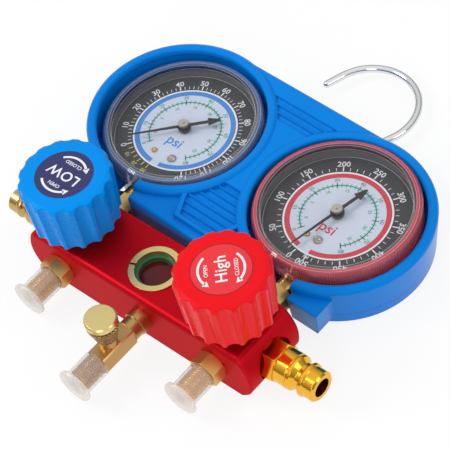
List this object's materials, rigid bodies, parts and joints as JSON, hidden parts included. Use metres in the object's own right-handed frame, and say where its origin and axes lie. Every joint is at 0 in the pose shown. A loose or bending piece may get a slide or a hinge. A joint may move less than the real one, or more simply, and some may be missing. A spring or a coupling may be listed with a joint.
{
  "type": "refrigerant manifold gauge set",
  "caption": "Manifold gauge set for air conditioning service: red block with hand wheel valves, dial gauges in a blue boot, capped hose ports and a hanging hook.",
  "frame": {"origin": "centre of the block's flat back face, on which the gauge set lies", "axes": "+X along the block from the low side to the high side, +Y from the hose ports to the gauges and the hook, +Z out of the dials and hand wheels"},
  "size_m": [0.1932, 0.2383, 0.065],
  "materials": {
    "anodised_red": "satin",
    "dark_glass": "polished",
    "green_rubber": "satin",
    "brass": "satin",
    "bronze": "satin",
    "black_rubber": "matte",
    "blue_plastic": "satin",
    "red_plastic": "satin",
    "navy_label": "satin",
    "red_label": "satin",
    "steel": "satin",
    "clear_cap": "translucent",
    "gold_anodised": "satin",
    "black_steel": "gloss",
    "dial_white": "satin",
    "pointer_black": "satin",
    "clear_lens": "polished",
    "blue_rubber": "gloss",
    "chrome": "polished"
  },
  "bodies": {
    "manifold": {"manifold_block": "anodised_red", "sight_glass": "dark_glass", "sight_glass_seal": "green_rubber", "sight_glass_ring": "brass", "low_valve_bonnet": "brass", "high_valve_bonnet": "brass", "low_hose_fitting": "brass", "high_hose_fitting": "brass", "low_gauge_socket": "brass", "high_gauge_socket": "brass", "low_movement_frame": "brass", "high_movement_frame": "brass", "low_dial_screw": "brass", "high_dial_screw": "brass", "low_lens_gasket": "black_rubber", "high_lens_gasket": "black_rubber", "charging_tee": "brass", "charging_valve_core": "brass", "low_parking_port": "brass", "hook_bush": "brass", "high_parking_port": "gold_anodised", "charging_valve_spring": "steel", "low_bourdon_tube": "bronze", "high_bourdon_tube": "bronze", "low_gauge_case": "black_steel", "high_gauge_case": "black_steel", "low_dial": "dial_white", "high_dial": "dial_white", "low_gauge_lens": "clear_lens", "high_gauge_lens": "clear_lens", "gauge_boot": "blue_rubber"},
    "low_spindle_lift": {"low_stem_seal": "black_rubber"},
    "low_spindle": {"low_valve_stem": "brass", "low_knob": "blue_plastic", "low_knob_screw": "steel", "low_knob_label": "navy_label"},
    "low_sector": {"low_sector_gear": "brass"},
    "low_pointer_group": {"low_pointer_shaft": "brass", "low_pointer": "pointer_black"},
    "low_zero_adjuster": {"low_zero_screw": "steel"},
    "low_hose_cap": {"low_dust_cap": "clear_cap"},
    "high_spindle_lift": {"high_stem_seal": "black_rubber"},
    "high_spindle": {"high_valve_stem": "brass", "high_knob": "red_plastic", "high_knob_screw": "steel", "high_knob_label": "red_label"},
    "high_sector": {"high_sector_gear": "brass"},
    "high_pointer_group": {"high_pointer_shaft": "brass", "high_pointer": "pointer_black"},
    "high_zero_adjuster": {"high_zero_screw": "steel"},
    "high_hose_cap": {"high_dust_cap": "clear_cap"},
    "charging_hose_cap": {"charging_dust_cap": "clear_cap"},
    "service_cap_lift": {"service_cap_seal": "black_rubber"},
    "service_cap_turn": {"service_cap": "brass"},
    "charging_pin": {"charging_valve_pin": "steel"},
    "hanging_hook": {"hook": "chrome"}
  },
  "joints": [
    {"name": "low_valve_lift", "type": "slide", "parent": "manifold", "child": "low_spindle_lift", "axis": [0, 0, 1], "range_m": [0, 0.003]},
    {"name": "low_valve_turn", "type": "hinge", "parent": "low_spindle_lift", "child": "low_spindle", "pos_m": [-0.048, 0, 0.05], "axis": [0, 0, 1], "range_deg": [0, 720]},
    {"name": "low_sector_swing", "type": "hinge", "parent": "manifold", "child": "low_sector", "pos_m": [-0.06359, 0.083, 0.0142], "axis": [0, 0, 1], "range_deg": [-5.65, 34.77]},
    {"name": "low_pointer_turn", "type": "hinge", "parent": "manifold", "child": "low_pointer_group", "pos_m": [-0.048, 0.074, 0.0272], "axis": [0, 0, 1], "range_deg": [-279, 46]},
    {"name": "low_zero_turn", "type": "hinge", "parent": "manifold", "child": "low_zero_adjuster", "pos_m": [-0.0412, 0.0564, 0.0245], "axis": [0, 0, 1], "range_deg": [-90, 90]},
    {"name": "low_hose_cap_pull", "type": "slide", "parent": "manifold", "child": "low_hose_cap", "axis": [0, -1, 0], "range_m": [0, 0.025]},
    {"name": "high_valve_lift", "type": "slide", "parent": "manifold", "child": "high_spindle_lift", "axis": [0, 0, 1], "range_m": [0, 0.003]},
    {"name": "high_valve_turn", "type": "hinge", "parent": "high_spindle_lift", "child": "high_spindle", "pos_m": [0.048, 0, 0.05], "axis": [0, 0, 1], "range_deg": [0, 720]},
    {"name": "high_sector_swing", "type": "hinge", "parent": "manifold", "child": "high_sector", "pos_m": [0.03241, 0.083, 0.0142], "axis": [0, 0, 1], "range_deg": [-0.65, 43.02]},
    {"name": "high_pointer_turn", "type": "hinge", "parent": "manifold", "child": "high_pointer_group", "pos_m": [0.048, 0.074, 0.0272], "axis": [0, 0, 1], "range_deg": [-345, 6]},
    {"name": "high_zero_turn", "type": "hinge", "parent": "manifold", "child": "high_zero_adjuster", "pos_m": [0.0493, 0.0574, 0.0245], "axis": [0, 0, 1], "range_deg": [-90, 90]},
    {"name": "high_hose_cap_pull", "type": "slide", "parent": "manifold", "child": "high_hose_cap", "axis": [0, -1, 0], "range_m": [0, 0.025]},
    {"name": "charging_hose_cap_pull", "type": "slide", "parent": "manifold", "child": "charging_hose_cap", "axis": [0, -1, 0], "range_m": [0, 0.025]},
    {"name": "service_cap_rise", "type": "slide", "parent": "manifold", "child": "service_cap_lift", "axis": [0, 0, 1], "range_m": [0, 0.0036]},
    {"name": "service_cap_unscrew", "type": "hinge", "parent": "service_cap_lift", "child": "service_cap_turn", "pos_m": [0.004, -0.039, 0.03], "axis": [0, 0, 1], "range_deg": [0, 1440]},
    {"name": "charging_pin_press", "type": "slide", "parent": "manifold", "child": "charging_pin", "axis": [0, 0, -1], "range_m": [0, 0.0015], "stiffness_N_per_m": 600, "deforming": ["charging_valve_spring"]},
    {"name": "hook_swivel", "type": "hinge", "parent": "manifold", "child": "hanging_hook", "pos_m": [0, 0.0175, 0.006], "axis": [0, 1, 0], "range_deg": [-180, 180]}
  ],
  "couplings": [
    {"joint": "low_valve_turn", "follows": "low_valve_lift", "rad_per_m": 4188.8},
    {"joint": "low_pointer_turn", "follows": "low_sector_swing", "ratio": -8},
    {"joint": "high_valve_turn", "follows": "high_valve_lift", "rad_per_m": 4188.8},
    {"joint": "high_pointer_turn", "follows": "high_sector_swing", "ratio": -8},
    {"joint": "service_cap_unscrew", "follows": "service_cap_rise", "rad_per_m": 6981.3}
  ]
}
